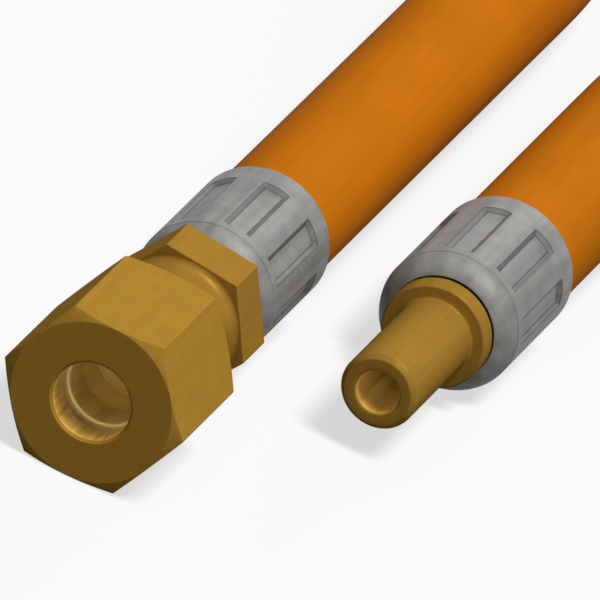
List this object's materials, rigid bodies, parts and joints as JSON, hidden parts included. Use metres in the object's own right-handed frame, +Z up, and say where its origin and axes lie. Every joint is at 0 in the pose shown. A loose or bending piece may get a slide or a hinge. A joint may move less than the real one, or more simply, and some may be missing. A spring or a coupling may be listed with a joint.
{
  "type": "flexible gas hose",
  "caption": "Flexible rubber gas hose with crimped ferrules, a union nut with cutting ring on one end and a plain pipe spigot on the other.",
  "frame": {"origin": "on the floor, in the middle under the metal fittings (hose left out)", "axes": "+Z up, +Y along both fittings from the mouth of the union nut towards the hose, +X from the nut end towards the spigot end"},
  "size_m": [0.1273, 0.2737, 0.017],
  "materials": {
    "brass_nut": "machined brass, satin, with fine turning marks",
    "brass_ring": "turned brass, satin",
    "brass_body": "turned brass, satin",
    "plated_steel": "zinc plated steel, matt grey",
    "orange_rubber": "matt orange rubber, smooth cover"
  },
  "bodies": {
    "hose_assembly": {"connector_body": "brass_body", "ferrule_nut_end": "plated_steel", "hose": "orange_rubber", "ferrule_spigot_end": "plated_steel", "pipe_spigot": "brass_body"},
    "ring": {"cutting_ring": "brass_ring"},
    "nut": {"union_nut": "brass_nut"}
  },
  "joints": [
    {"name": "ring_slide", "type": "slide", "parent": "hose_assembly", "child": "ring", "axis": [0, -1, 0], "range_m": [0, 0.006]},
    {"name": "nut_turn", "type": "hinge", "parent": "ring", "child": "nut", "pos_m": [-0.00882, -0.0246, 0.0085], "axis": [0, -1, 0], "range_deg": [0, 1440]}
  ],
  "couplings": [
    {"joint": "ring_slide", "follows": "nut_turn", "m_per_rad": 0.00023873}
  ]
}
